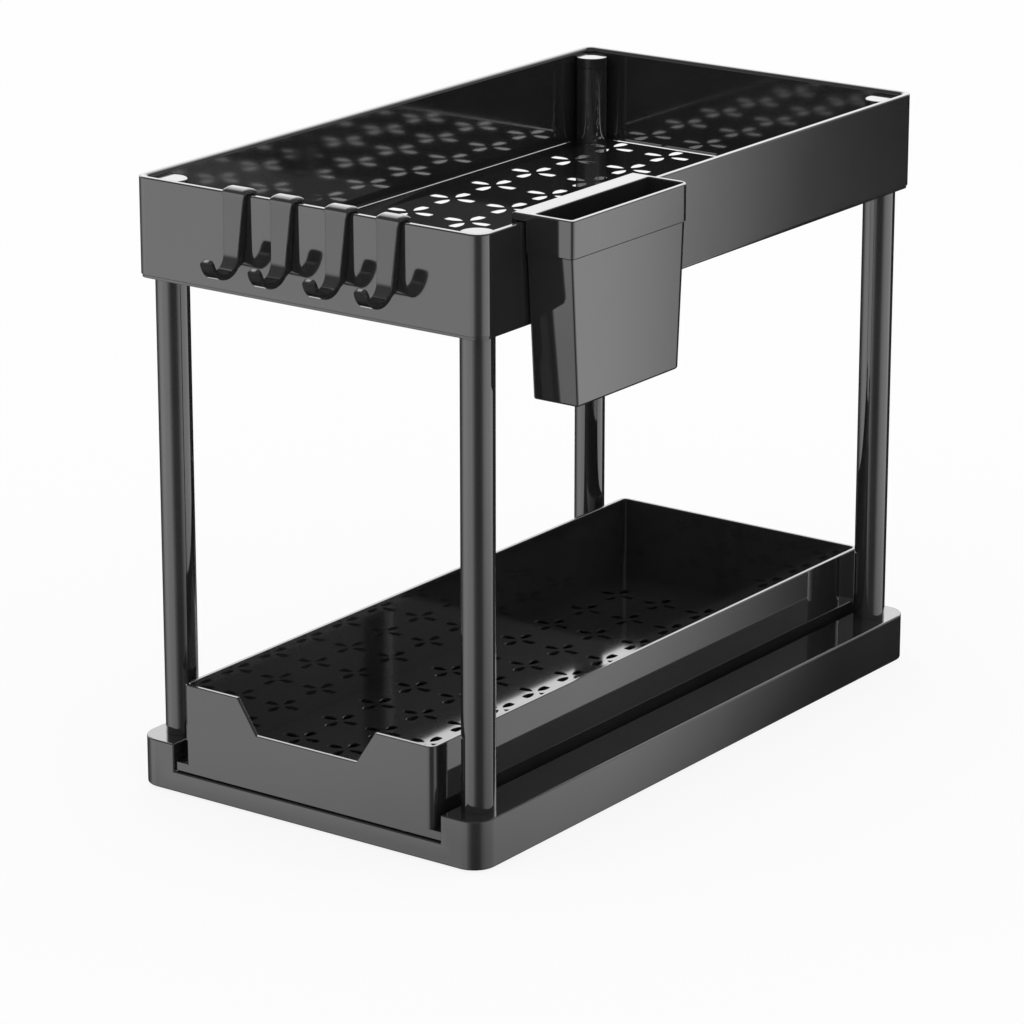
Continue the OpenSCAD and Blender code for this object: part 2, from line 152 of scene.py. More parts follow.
# Hooks: strap over the rim, clip behind it, strip that swells, bend, tip and the fillet in the bend
HOOK_GAP = 0.3 * MM
HOOK_SOFT = 0.45 * MM
STRAP_HALF = 6.8 * MM
STRAP_THICK = 2.6 * MM
STRAP_EDGE = 0.5 * MM
STRAP_SIDE = 1.8 * MM
STRAP_CUTS = (0.2, 0.55, 1)
STRAP_FALL = 0.9
STRAP_ARCH = (-80, -70, -60, -45, -30, -15, 0, 15, 30, 45, 60, 70, 80)
CLIP_THICK = 2.2 * MM
CLIP_DEPTH = 12.0 * MM
SHOULDER_HALF = 6.1 * MM
SHOULDER_DEPTH = 2.3 * MM
STRIP_HALF = 4.5 * MM
STRIP_THICK = 5.2 * MM
BEND_RADIUS = 8.1 * MM
BEND_THICK = 2.9 * MM
BEND_DEPTH = 27.9 * MM
BEND_TURN = math.radians(158)
BEND_STEPS = 24
TIP_LENGTH = 3.7 * MM
TIP_NARROWING = 0.22
TIP_ZONE = 5.0 * MM
TIP_ROUNDNESS = 0.67
FILLET_INSET = 0.55 * MM
FILLET_BACK = 0.1 * MM
FILLET_THICK = 3.7 * MM
FILLET_DROP = 8.2 * MM
FILLET_LEAN = 2.7 * MM
FILLET_LIFT = 3.0 * MM
FILLET_SOFT = 0.4 * MM

# Camera, solved from the object's edges in the photograph
CAMERA_PLACE = (1.29872, -1.81935, 0.81462)
CAMERA_YAW, CAMERA_PITCH = math.radians(35.87), math.radians(17.45)
CAMERA_LENS, CAMERA_SENSOR = 160.35, 36
FLOOR_SIZE = 12

# Studio that gloss shows: brightness by direction, in degrees from the camera's side to the right
AROUND = [
    (-180, 0.02), (-152, 0.03), (-139, 0.08), (-119, 0.28), (-104, 0.8), (-85, 1.05),
    (-60, 1.0), (-38, 0.95), (-23, 0.4), (-10, 0.12), (10, 0.09), (25, 0.16),
    (42, 0.72), (60, 0.98), (110, 1.05), (128, 1.05), (150, 0.25), (180, 0.2),
]
TO_CAMERA, TO_RIGHT = (0.581, -0.814, 0), (0.814, 0.581, 0)

LEFT, RIGHT, FRONT, BACK = -1, 1, -1, 1
CORNERS = {
    "front_left": (LEFT, FRONT), "front_right": (RIGHT, FRONT),
    "back_left": (LEFT, BACK), "back_right": (RIGHT, BACK),
}

FEET = ["foot_" + corner for corner in CORNERS] + ["foot_centre"]


# Selecting and editing, as by hand

def object_mode():
    if bpy.context.object and bpy.context.object.mode != "OBJECT":
        bpy.ops.object.mode_set(mode="OBJECT")


def only(piece):
    """Leaves the piece alone selected and active."""
    object_mode()
    bpy.ops.object.select_all(action="DESELECT")
    piece.select_set(True)
    bpy.context.view_layer.objects.active = piece


def edit(piece):
    only(piece)
    bpy.ops.object.mode_set(mode="EDIT")


def pick(kind, test):
    """Selects the vertices, edges or faces of the mesh in edit mode that pass the test."""
    bpy.ops.mesh.select_mode(type={"verts": "VERT", "edges": "EDGE", "faces": "FACE"}[kind])
    bpy.ops.mesh.select_all(action="DESELECT")
    mesh = bmesh.from_edit_mesh(bpy.context.object.data)
    for element in getattr(mesh, kind):
        element.select_set(test(element))
    mesh.select_flush_mode()
    bmesh.update_edit_mesh(bpy.context.object.data)


def middle(element):
    """Centre of an edge or a face."""
    return sum((v.co for v in element.verts), Vector()) / len(element.verts)


def upright(edge):
    a, b = (v.co for v in edge.verts)
    return (a - b).xy.length < 1e-6


def faces_up(face):
    return face.normal.z > LEVEL


def faces_down(face):
    return face.normal.z < -LEVEL


def stands(face):
    """A face that stands more than it lies."""
    return abs(face.normal.z) < STANDING


def settle(name):
    """Names the active object and moves its place into its mesh."""
    object_mode()
    piece = bpy.context.object
    piece.name = name
    piece.data.name = name
    bpy.ops.object.transform_apply(location=True, rotation=True, scale=True)
    return piece


def block(name, low, high):
    """A box between two corners."""
    object_mode()
    bpy.ops.object.select_all(action="DESELECT")
    low, high = Vector(low), Vector(high)
    bpy.ops.mesh.primitive_cube_add(size=1, location=(low + high) / 2)
    bpy.context.object.scale = high - low
    return settle(name)


def rod(name, x, y, low, high, radius, vertices=96):
    """An upright cylinder between two heights."""
    object_mode()
    bpy.ops.object.select_all(action="DESELECT")
    bpy.ops.mesh.primitive_cylinder_add(
        vertices=vertices, radius=radius, depth=high - low, location=(x, y, (low + high) / 2))
    return settle(name)


def round_uprights(piece, radius, segments):
    """Rounds the upright edges of a block."""
    edit(piece)
    pick("edges", upright)
    bpy.ops.mesh.bevel(offset=radius, segments=segments, affect="EDGES")
    object_mode()


def open_through(piece, wall):
    """Turns a closed block into a frame with a wall of that thickness."""
    edit(piece)
    pick("faces", lambda f: faces_up(f) or faces_down(f))
    bpy.ops.mesh.inset(thickness=wall, use_even_offset=True)
    bpy.ops.mesh.bridge_edge_loops()
    object_mode()


def combine(piece, tool, operation):
    """Cuts the tool out of the piece, or adds it, and removes the tool."""
    only(piece)
    modifier = piece.modifiers.new("combine", "BOOLEAN")
    modifier.operation = operation
    modifier.solver = "MANIFOLD"
    modifier.object = tool
    bpy.ops.object.modifier_apply(modifier=modifier.name)
    bpy.data.objects.remove(tool)
    return piece


def cut(piece, tool):
    return combine(piece, tool, "DIFFERENCE")


def add(piece, tool):
    return combine(piece, tool, "UNION")


def clean(piece):
    """Merges the tiny edges that cutting leaves."""
    edit(piece)
    bpy.ops.mesh.select_all(action="SELECT")
    bpy.ops.mesh.remove_doubles(threshold=0.005 * MM)
    bpy.ops.mesh.dissolve_degenerate(threshold=0.005 * MM)
    object_mode()


def ease(piece, width, clamp=True):
    """Rounds the sharp edges."""
    only(piece)
    modifier = piece.modifiers.new("soften", "BEVEL")
    modifier.width = width
    modifier.segments = 3
    modifier.limit_method = "ANGLE"
    modifier.angle_limit = SHARP
    modifier.use_clamp_overlap = clamp
    bpy.ops.object.modifier_apply(modifier=modifier.name)


def crisp(piece, angle=40):
    """Smooth round surfaces, with sharp edges left sharp."""
    only(piece)
    bpy.ops.object.shade_smooth_by_angle(angle=math.radians(angle))


def smooth(piece, angle=40):
    """Smooth round surfaces that run evenly into flat ones."""
    crisp(piece, angle)
    modifier = piece.modifiers.new("even", "WEIGHTED_NORMAL")
    modifier.mode = "FACE_AREA"
    modifier.weight = 50
    modifier.keep_sharp = True
    bpy.ops.object.modifier_apply(modifier=modifier.name)


def soften(piece, width):
    """Rounds the sharp edges and keeps the flat faces flat to the eye."""
    ease(piece, width)
    smooth(piece)


def repeat(piece, count, step):
    """A row of copies at an even step."""
    only(piece)
    modifier = piece.modifiers.new("row", "ARRAY")
    modifier.count = count
    modifier.use_relative_offset = False
    modifier.use_constant_offset = True
    modifier.constant_offset_displace = step
    bpy.ops.object.modifier_apply(modifier=modifier.name)


def twin(piece, name):
    """A copy with its own mesh."""
    copy = piece.copy()
    copy.data = piece.data.copy()
    copy.name = name
    copy.data.name = name
    bpy.context.scene.collection.objects.link(copy)
    return copy


def shift(piece, offset):
    piece.data.transform(Matrix.Translation(offset))


def deliver(piece, body, slot, *nodes):
    """Rides the piece on its body in place of its nodes."""
    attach(piece, body)
    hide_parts(*nodes)


# Shader nodes

class Value:
    """A node's output, with sums that add Math nodes."""

    def __init__(self, maker, socket):
        self.maker = maker
        self.socket = socket

    def _math(self, operation, *values):
        return self.maker.node("ShaderNodeMath", {"operation": operation}, dict(enumerate(values)))

    def __add__(self, other):
        return self._math("ADD", self, other)

    def __mul__(self, other):
        return self._math("MULTIPLY", self, other)

    def __rsub__(self, other):
        return self._math("SUBTRACT", other, self)

    __radd__ = __add__
    __rmul__ = __mul__


class Maker:
    """Adds nodes to one material or world."""

    def __init__(self, owner):
        owner.use_nodes = True
        self.tree = owner.node_tree
        self.tree.nodes.clear()

    def node(self, kind, settings=None, inputs=None, output=0):
        made = self.tree.nodes.new(kind)
        for key, setting in (settings or {}).items():
            if key == "stops":
                for i, (place, level) in enumerate(setting):
                    ramp = made.color_ramp.elements
                    stop = ramp[i] if i < 2 else ramp.new(place)
                    stop.position = place
                    stop.color = (level, level, level, 1)
            else:
                setattr(made, key, setting)
        for key, value in (inputs or {}).items():
            if isinstance(value, Value):
                self.tree.links.new(value.socket, made.inputs[key])
            else:
                made.inputs[key].default_value = value
        return Value(self, made.outputs[output]) if made.outputs else None


def plastic(name, base, roughness, coat_roughness):
    """Polished black moulding: faint flow in the gloss and a barely uneven skin."""
    material = bpy.data.materials.new(name)
    make = Maker(material)
    place = make.node("ShaderNodeTexCoord", output="Object")
    flow = make.node("ShaderNodeTexNoise", {}, {"Vector": place, "Scale": 18, "Detail": 2})
    grain = make.node("ShaderNodeTexNoise", {}, {"Vector": place, "Scale": 900, "Detail": 3})
    tone = make.node("ShaderNodeValToRGB", {"stops": [(0.3, base * 0.8), (0.7, base * 1.2)]}, {"Fac": flow})
    skin = make.node("ShaderNodeBump", {}, {"Strength": 0.02, "Distance": 0.001, "Height": flow})
    shader = make.node("ShaderNodeBsdfPrincipled", {}, {
        "Base Color": tone, "Roughness": roughness + 0.03 * grain, "IOR": 1.85,
        "Coat Weight": 1.0, "Coat Roughness": coat_roughness, "Normal": skin,
    })
    make.node("ShaderNodeOutputMaterial", {}, {"Surface": shader})
    return material


def rubber(name):
    """Matt black rubber of the foot pads."""
    material = bpy.data.materials.new(name)
    make = Maker(material)
    place = make.node("ShaderNodeTexCoord", output="Object")
    speck = make.node("ShaderNodeTexNoise", {}, {"Vector": place, "Scale": 1500, "Detail": 4})
    skin = make.node("ShaderNodeBump", {}, {"Strength": 0.2, "Distance": 0.0002, "Height": speck})
    tone = make.node("ShaderNodeValToRGB", {"stops": [(0.3, 0.02), (0.7, 0.035)]}, {"Fac": speck})
    shader = make.node("ShaderNodeBsdfPrincipled", {}, {
        "Base Color": tone, "Roughness": 0.6 + 0.2 * speck, "Normal": skin,
    })
    make.node("ShaderNodeOutputMaterial", {}, {"Surface": shader})
    return material


GLOSS = plastic("gloss_black", 0.016, 0.03, 0.03)
SATIN = plastic("satin_gloss_black", 0.018, 0.065, 0.065)
RUBBER = rubber("pad_rubber")


def paint(piece, material):
    piece.data.materials.clear()
    piece.data.materials.append(material)
    for face in piece.data.polygons:
        face.material_index = 0


# Upper tray

def leg_place(corner):
    low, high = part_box("leg_" + corner)
    return (low.x + high.x) / 2, (low.y + high.y) / 2


def upper_tray():
    low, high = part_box("upper_tray")
    tray = block("tray_walls", low, high)
    round_uprights(tray, TRAY_CORNER, 10)
    open_through(tray, TRAY_WALL)
    edit(tray)
    half_x, half_y = high.x - TRAY_WALL / 2, high.y - TRAY_WALL / 2
    for inside, offset in ((True, TRAY_RIM), (False, TRAY_EDGE)):
        pick("edges", lambda e: middle(e).z > high.z - NEAR and any(stands(f) for f in e.link_faces)
             and inside == (abs(middle(e).x) < half_x and abs(middle(e).y) < half_y))
        bpy.ops.mesh.bevel(offset=offset, segments=6, affect="EDGES")
    object_mode()
    ease(tray, TRAY_SOFT)
    post_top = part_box("cap_front_left")[1].z - CAP_THICK
    for corner, (side, end) in CORNERS.items():
        x, y = leg_place(corner)
        wall_x, wall_y = side * half_x, end * half_y
        fill = block("fill", (min(x, wall_x), min(y, wall_y), low.z),
                     (max(x, wall_x), max(y, wall_y), post_top))
        add(tray, fill)
        add(tray, rod("post", x, y, low.z, post_top, LEG_RADIUS))
        cut(tray, rod("socket", x, y, low.z - MM, post_top + MM, SOCKET_RADIUS))
    clean(tray)
    ease(tray, POST_SOFT)
    clean(tray)
    smooth(tray)
    paint(tray, SATIN)
    deliver(tray, "frame", "black_plastic", "upper_tray")


# Perforated floors

def flare(cutter, side, centre, length, width):
    """Widens one end of a petal cutter, so that it leaves a small chamfer."""
    edit(cutter)
    pick("faces", faces_up if side > 0 else faces_down)
    bpy.ops.mesh.extrude_region_move(TRANSFORM_OT_translate={"value": (0, 0, side * HOLE_EDGE)})
    bpy.ops.transform.resize(value=(1 + 2 * HOLE_EDGE / length, 1 + 2 * HOLE_EDGE / width, 1),
                             center_override=centre)
    bpy.ops.mesh.extrude_region_move(TRANSFORM_OT_translate={"value": (0, 0, side * MM)})
    object_mode()


def petal(x, y, low, high, reach):
    """Cutter for one petal along +X: two arcs, cut blunt by the flower's edge."""
    start = PETAL_START * reach
    length = PETAL_END * reach - start
    width = PETAL_WIDTH * reach
    arc = (length ** 2 / 4 + width ** 2 / 4) / width
    middle_x = x + start + length / 2
    bottom, top = low + HOLE_EDGE, high - HOLE_EDGE
    leaf = rod("petal", middle_x, y + arc - width / 2, bottom, top, arc)
    combine(leaf, rod("arc", middle_x, y - arc + width / 2, bottom, top, arc), "INTERSECT")
    combine(leaf, rod("edge", x, y, bottom, top, reach), "INTERSECT")
    centre = (x + start / 2 + reach / 2, y, (low + high) / 2)
    for side in (-1, 1):
        flare(leaf, side, centre, reach - start, width)
    return leaf


def flowers(x, y, low, high, reach, columns, step_x, rows, step_y):
    """A field of four-petal cutters, its first flower at x, y."""
    cross = petal(x, y, low, high, reach)
    leaf = twin(cross, "leaf")
    centre = Matrix.Translation((x, y, 0))
    for quarter in (1, 2, 3):
        turned = twin(leaf, "turned")
        turned.data.transform(centre @ Matrix.Rotation(quarter * math.pi / 2, 4, "Z") @ centre.inverted())
        only(cross)
        turned.select_set(True)
        bpy.ops.object.join()
    bpy.data.objects.remove(leaf)
    repeat(cross, columns, (step_x, 0, 0))
    repeat(cross, rows, (0, step_y, 0))
    return cross


def floor_recess(low, high, first_x, first_y):
    """Cutter under the floor: a cell below each flower, and a strip below each slit."""
    half = (TRAY_STEP - CELL_RIB) / 2
    bottom, top = low.z - MM, high.z - FLOOR_SHEET
    cells = block("cells", (first_x - half, first_y - half, bottom), (first_x + half, first_y + half, top))
    round_uprights(cells, CELL_CORNER, 4)
    repeat(cells, TRAY_COLUMNS, (TRAY_STEP, 0, 0))
    repeat(cells, TRAY_ROWS, (0, TRAY_STEP, 0))
    tray_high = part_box("upper_tray")[1]
    wall_x, wall_y = tray_high.x - TRAY_WALL, tray_high.y - TRAY_WALL
    half_x, half_y = SLIT_HALF_X + MM, SLIT_HALF_Y + MM
    for side in (-1, 1):
        x0, x1 = side * (wall_x - SIDE_STRIP), side * (high.x - FLOOR_RIM)
        y0, y1 = side * (wall_y - END_SLIT), side * (high.y - FLOOR_RIM)
        add(cells, block("strip", (min(x0, x1), -half_y, bottom), (max(x0, x1), half_y, top)))
        add(cells, block("strip", (-half_x, min(y0, y1), bottom), (half_x, max(y0, y1), top)))
    for corner in CORNERS:
        x, y = leg_place(corner)
        cut(cells, rod("boss", x, y, bottom - MM, high.z, BOSS_RADIUS))
    return cells


def slits(low, high):
    """Cutter for the narrow slit along the foot of each wall, between the posts."""
    tray_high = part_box("upper_tray")[1]
    wall_x, wall_y = tray_high.x - TRAY_WALL, tray_high.y - TRAY_WALL
    bottom, top = low.z - MM, high.z + MM
    row = None
    for side in (-1, 1):
        x0, x1 = side * (wall_x - SIDE_SLIT), side * wall_x
        y0, y1 = side * (wall_y - END_SLIT), side * wall_y
        along = block("slit", (min(x0, x1), -SLIT_HALF_Y, bottom), (max(x0, x1), SLIT_HALF_Y, top))
        row = add(row, along) if row else along
        add(row, block("slit", (-SLIT_HALF_X, min(y0, y1), bottom), (SLIT_HALF_X, max(y0, y1), top)))
    return row


def tray_floor():
    low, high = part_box("tray_floor")
    first_x, first_y = -2 * TRAY_STEP, -FIRST_ROW
    panel = block("tray_floor_panel", low, high)
    round_uprights(panel, FLOOR_CORNER, 10)
    for corner in CORNERS:
        x, y = leg_place(corner)
        cut(panel, rod("hole", x, y, low.z - MM, high.z + MM, SOCKET_RADIUS))
    ease(panel, FLOOR_SOFT)
    cut(panel, floor_recess(low, high, first_x, first_y))
    cut(panel, slits(low, high))
    cut(panel, flowers(first_x, first_y, high.z - FLOOR_SHEET, high.z, TRAY_FLOWER,
                       TRAY_COLUMNS, TRAY_STEP, TRAY_ROWS, TRAY_STEP))
    crisp(panel, angle=20)
    paint(panel, GLOSS)
    deliver(panel, "frame", "black_plastic", "tray_floor")


def drawer_floor():
    low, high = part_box("drawer_floor")
    panel = block("drawer_floor_panel", low, high)
    round_uprights(panel, DRAWER_CORNER - DRAWER_WALL, 6)
    centre_y = (low.y + high.y) / 2
    cut(panel, flowers(-2 * DRAWER_STEP_X, centre_y - FIRST_ROW, low.z, high.z, DRAWER_FLOWER,
                       DRAWER_COLUMNS, DRAWER_STEP_X, DRAWER_ROWS, DRAWER_STEP_Y))
    crisp(panel, angle=20)
    paint(panel, SATIN)
    deliver(panel, "drawer_body", "black_plastic", "drawer_floor")


# Legs and caps

def legs():
    base_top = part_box("base_frame")[1].z
    shaft_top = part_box("tray_floor")[0].z
    for corner in CORNERS:
        node = "leg_" + corner
        low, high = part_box(node)
        x, y = leg_place(corner)
        leg = rod(node + "_tube", x, y, base_top, shaft_top, LEG_RADIUS)
        for end, face_side in ((high.z - shaft_top, faces_up), (low.z - base_top, faces_down)):
            edit(leg)
            pick("faces", face_side)
            bpy.ops.mesh.inset(thickness=LEG_RADIUS - SPIGOT_RADIUS, use_even_offset=True)
            bpy.ops.mesh.extrude_region_move(TRANSFORM_OT_translate={"value": (0, 0, end)})
            object_mode()
        cut(leg, rod("bore", x, y, low.z - MM, high.z + MM, LEG_BORE))
        soften(leg, LEG_SOFT)
        paint(leg, GLOSS)
        deliver(leg, "frame", "black_plastic", node)


def caps():
    wall_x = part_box("upper_tray")[1].x - TRAY_WALL
    for corner, (side, _) in CORNERS.items():
        node = "cap_" + corner
        low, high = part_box(node)
        x, y = leg_place(corner)
        lid = rod(node + "_lid", x, y, high.z - CAP_THICK, high.z, LEG_RADIUS)
        edit(lid)
        pick("faces", faces_down)
        bpy.ops.mesh.inset(thickness=LEG_RADIUS - SPIGOT_RADIUS, use_even_offset=True)
        bpy.ops.mesh.extrude_region_move(TRANSFORM_OT_translate={"value": (0, 0, low.z - high.z + CAP_THICK)})
        object_mode()
        near, far = side * (wall_x - PLAY), side * (wall_x + LEG_RADIUS)
        cut(lid, block("beside", (min(near, far), y - 2 * LEG_RADIUS, low.z - MM),
                       (max(near, far), y + 2 * LEG_RADIUS, high.z + MM)))
        soften(lid, CAP_SOFT)
        paint(lid, GLOSS)
        deliver(lid, "frame", "black_plastic", node)


# Base

def floor_ribs():
    """Shallow ribs across and along the underside of the channel's floor."""
    low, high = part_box("base_frame")
    top = CHANNEL_FLOOR - BASE_WALL / 2
    bottom = CHANNEL_FLOOR - BASE_WALL - RIB_HEIGHT
    half_w = CHANNEL_HALF + BASE_WALL / 2
    half_d = (high.y - low.y - BASE_WALL) / 2
    step_x, step_y = 2 * half_w / CELLS_ACROSS, 2 * half_d / CELLS_ALONG
    first_x, first_y = (1 - CELLS_ACROSS / 2) * step_x, (1 - CELLS_ALONG / 2) * step_y
    along = block("ribs_along", (first_x - RIB / 2, -half_d, bottom), (first_x + RIB / 2, half_d, top))
    repeat(along, CELLS_ACROSS - 1, (step_x, 0, 0))
    across = block("ribs_across", (-half_w, first_y - RIB / 2, bottom), (half_w, first_y + RIB / 2, top))
    repeat(across, CELLS_ALONG - 1, (0, step_y, 0))
    return add(along, across)


def underside():
    """Cutter for the hollow under the channel's floor and inside the side beams."""
    low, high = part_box("base_frame")
    hollow = block("hollow", (low.x + BASE_WALL, low.y + BASE_WALL, low.z - MM),
                   (high.x - BASE_WALL, high.y - BASE_WALL, CHANNEL_FLOOR - BASE_WALL))
    round_uprights(hollow, BASE_CORNER - BASE_WALL, 8)
    for side in (LEFT, RIGHT):
        inner = side * (CHANNEL_HALF + BASE_WALL)
        outer = side * (high.x - BASE_WALL)
        beam = block("beam", (min(inner, outer), low.y + BASE_WALL, low.z - MM),
                     (max(inner, outer), high.y - BASE_WALL, high.z - BASE_WALL))
        edit(beam)
        pick("edges", lambda e: upright(e) and abs(middle(e).x) > CHANNEL_HALF + 2 * BASE_WALL)
        bpy.ops.mesh.bevel(offset=BASE_CORNER - BASE_WALL, segments=8, affect="EDGES")
        object_mode()
        add(hollow, beam)
    for corner in CORNERS:
        x, y = leg_place(corner)
        cut(hollow, rod("boss", x, y, low.z - 2 * MM, high.z, BOSS_RADIUS))
    cut(hollow, rod("boss", 0, 0, low.z - 2 * MM, high.z, BOSS_RADIUS))
    return cut(hollow, floor_ribs())


def base():
    low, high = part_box("base_frame")
    shell = block("base_shell", low, high)
    round_uprights(shell, BASE_CORNER, 12)
    channel = block("channel", (-CHANNEL_HALF, low.y - MM, CHANNEL_FLOOR),
                    (CHANNEL_HALF, CHANNEL_BACK, high.z + MM))
    cut(shell, channel)
    soften(shell, BASE_SOFT)
    cut(shell, underside())
    for side in (LEFT, RIGHT):
        centre = side * RAIL_X
        rail = block("rail", (centre - RAIL_WIDTH / 2, low.y + BASE_WALL, CHANNEL_FLOOR - BASE_WALL / 2),
                     (centre + RAIL_WIDTH / 2, CHANNEL_BACK - BASE_WALL, CHANNEL_FLOOR + RAIL_HEIGHT))
        soften(rail, RAIL_SOFT)
        add(shell, rail)
    socket_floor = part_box("leg_front_left")[0].z - PLAY
    for corner in CORNERS:
        x, y = leg_place(corner)
        cut(shell, rod("socket", x, y, socket_floor, high.z + MM, SOCKET_RADIUS))
    for node in FEET:
        pad_low, pad_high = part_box(node)
        centre = (pad_low + pad_high) / 2
        seat = (pad_high.x - pad_low.x) / 2 + PLAY
        cut(shell, rod("pad_seat", centre.x, centre.y, low.z - MM, pad_high.z, seat))
    clean(shell)
    smooth(shell)
    paint(shell, GLOSS)
    deliver(shell, "frame", "black_plastic", "base_frame")


def feet():
    for node in FEET:
        low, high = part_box(node)
        centre = (low + high) / 2
        pad = rod(node + "_pad", centre.x, centre.y, low.z, high.z, (high.x - low.x) / 2)
        soften(pad, PAD_SOFT)
        paint(pad, RUBBER)
        deliver(pad, "frame", "foot_rubber", node)


# Drawer

def drawer():
    low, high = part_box("drawer")
    half = high.x - FLANGE_WIDTH
    tray = block("drawer_shell", (-half, low.y, low.z), (half, high.y, high.z))
    round_uprights(tray, DRAWER_CORNER, 8)
    flange = block("flange", low, (high.x, high.y, low.z + FLANGE_HEIGHT))
    add(tray, flange)
    room = block("room", (-half + DRAWER_WALL, low.y + DRAWER_WALL, low.z + LEDGE_HEIGHT),
                 (half - DRAWER_WALL, high.y - DRAWER_WALL, high.z + MM))
    round_uprights(room, DRAWER_CORNER - DRAWER_WALL, 6)
    cut(tray, room)
    inner = DRAWER_WALL + LEDGE_WIDTH
    under = block("under", (-half + inner, low.y + inner, low.z - MM),
                  (half - inner, high.y - inner, high.z))
    round_uprights(under, DRAWER_CORNER - DRAWER_WALL, 6)
    cut(tray, under)
    notch = block("notch", (-NOTCH_TOP_HALF, low.y - MM, high.z - NOTCH_DEPTH),
                  (NOTCH_TOP_HALF, low.y + NOTCH_CUT, high.z))
    edit(notch)
    pick("verts", lambda v: v.co.z < high.z - MM)
    bpy.ops.transform.resize(value=(NOTCH_BOTTOM_HALF / NOTCH_TOP_HALF, 1, 1),
                             center_override=(0, low.y, high.z))
    pick("faces", faces_up)
    bpy.ops.mesh.extrude_region_move(TRANSFORM_OT_translate={"value": (0, 0, MM)})
    object_mode()
    cut(tray, notch)
    clean(tray)
    edit(tray)
    bpy.ops.mesh.select_all(action="SELECT")
    bpy.ops.mesh.dissolve_limited(angle_limit=math.radians(0.5))
    above_flange = low.z + FLANGE_HEIGHT + MM
    pick("edges", lambda e: all(v.co.z > above_flange for v in e.verts)
         and e.calc_face_angle(0) > SHARP)
    bpy.ops.mesh.bevel(offset=DRAWER_EDGE, segments=3, affect="EDGES")
    object_mode()
    smooth(tray)
    paint(tray, GLOSS)
    deliver(tray, "drawer_body", "black_plastic", "drawer")


# Hanging cup

def cup():
    low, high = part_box("side_cup")
    low, high = low - Vector((0, 0, CUP_DEEPER)), high + Vector((0, CUP_LONGER, 0))
    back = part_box("upper_tray")[1].x + CUP_GAP
    band_bottom = high.z - CUP_BAND
    half = (high.y - low.y) / 2
    centre = Vector(((back + high.x) / 2, (low.y + high.y) / 2, 0))

    shell = block("cup_shell", (back, low.y, band_bottom), high)
    edit(shell)
    pick("edges", lambda e: upright(e) and middle(e).x > centre.x and middle(e).y > centre.y)
    bpy.ops.mesh.bevel(offset=CUP_FAR_CORNER, segments=10, affect="EDGES")
    pick("edges", lambda e: upright(e) and not (middle(e).x > centre.x and middle(e).y > centre.y))
    bpy.ops.mesh.bevel(offset=CUP_CORNER, segments=6, affect="EDGES")
    pick("faces", faces_down)
    bpy.ops.mesh.inset(thickness=CUP_STEP, use_even_offset=True)
    bpy.ops.mesh.extrude_region_move(TRANSFORM_OT_translate={"value": (0, 0, low.z - band_bottom)})
    narrow_y = (half - CUP_STEP - CUP_TAPER) / (half - CUP_STEP)
    width = high.x - back - 2 * CUP_STEP
    narrow_x = (width - CUP_LEAN) / width
    bpy.ops.transform.resize(value=(narrow_x, narrow_y, 1),
                             center_override=(high.x - CUP_STEP - CUP_PIVOT, centre.y, low.z))
    pick("edges", lambda e: middle(e).z < low.z + NEAR)
    bpy.ops.mesh.bevel(offset=CUP_BOTTOM_EDGE, segments=4, affect="EDGES")
    pick("edges", lambda e: abs(middle(e).z - band_bottom) < AT
         and any(middle(f).z > band_bottom + MM for f in e.link_faces))
    bpy.ops.mesh.bevel(offset=CUP_BAND_EDGE, segments=4, affect="EDGES")

    object_mode()
    inner_half = half - CUP_WALL
    room = block("cup_room", (back + CUP_BACK_WALL, centre.y - inner_half, band_bottom),
                 (high.x - CUP_WALL, centre.y + inner_half, high.z + MM))
    round_uprights(room, CUP_ROOM_CORNER, 4)
    edit(room)
    pick("faces", faces_down)
    bpy.ops.mesh.extrude_region_move(TRANSFORM_OT_translate={"value": (0, 0, low.z + CUP_WALL - band_bottom)})
    inner_narrow_y = (inner_half - CUP_STEP - CUP_TAPER) / inner_half
    inner_width = high.x - CUP_WALL - back - CUP_BACK_WALL
    inner_narrow_x = (inner_width - CUP_LEAN - CUP_STEP) / inner_width
    bpy.ops.transform.resize(value=(inner_narrow_x, inner_narrow_y, 1),
                             center_override=(high.x - CUP_WALL - CUP_STEP, centre.y, low.z))
    pick("edges", lambda e: middle(e).z < low.z + CUP_WALL + NEAR)
    bpy.ops.mesh.bevel(offset=CUP_ROOM_EDGE, segments=3, affect="EDGES")
    object_mode()
    cut(shell, room)
    edit(shell)
    pick("edges", lambda e: abs(middle(e).z - high.z) < AT and any(stands(f) for f in e.link_faces))
    bpy.ops.mesh.bevel(offset=CUP_RIM_EDGE, segments=4, affect="EDGES")
    object_mode()

    bridge = block("bridge", (low.x, low.y, high.z - CUP_BRIDGE), (back + CUP_WALL, high.y, high.z))
    clip = block("clip", (low.x, low.y, high.z - CUP_CLIP), (low.x + CUP_WALL, high.y, high.z - CUP_CLIP_TOP))
    add(bridge, clip)
    edit(bridge)
    pick("edges", lambda e: abs(middle(e).x - low.x) < AT and abs(middle(e).z - high.z) < AT)
    bpy.ops.mesh.bevel(offset=CUP_CLIP_EDGE, segments=5, affect="EDGES")
    object_mode()
    ease(bridge, CUP_CLIP_SOFT)
    add(shell, bridge)
    smooth(shell)
    paint(shell, GLOSS)
    deliver(shell, "cup_body", "black_plastic", "side_cup")


# Rim hooks

def draw_out(offset, scale=(1, 1, 1), anchor=(0, 0, 0)):
    """Extrudes the selected end of a piece and scales it about an anchor."""
    bpy.ops.mesh.extrude_region_move(TRANSFORM_OT_translate={"value": offset})
    bpy.ops.transform.resize(value=scale, center_override=anchor)


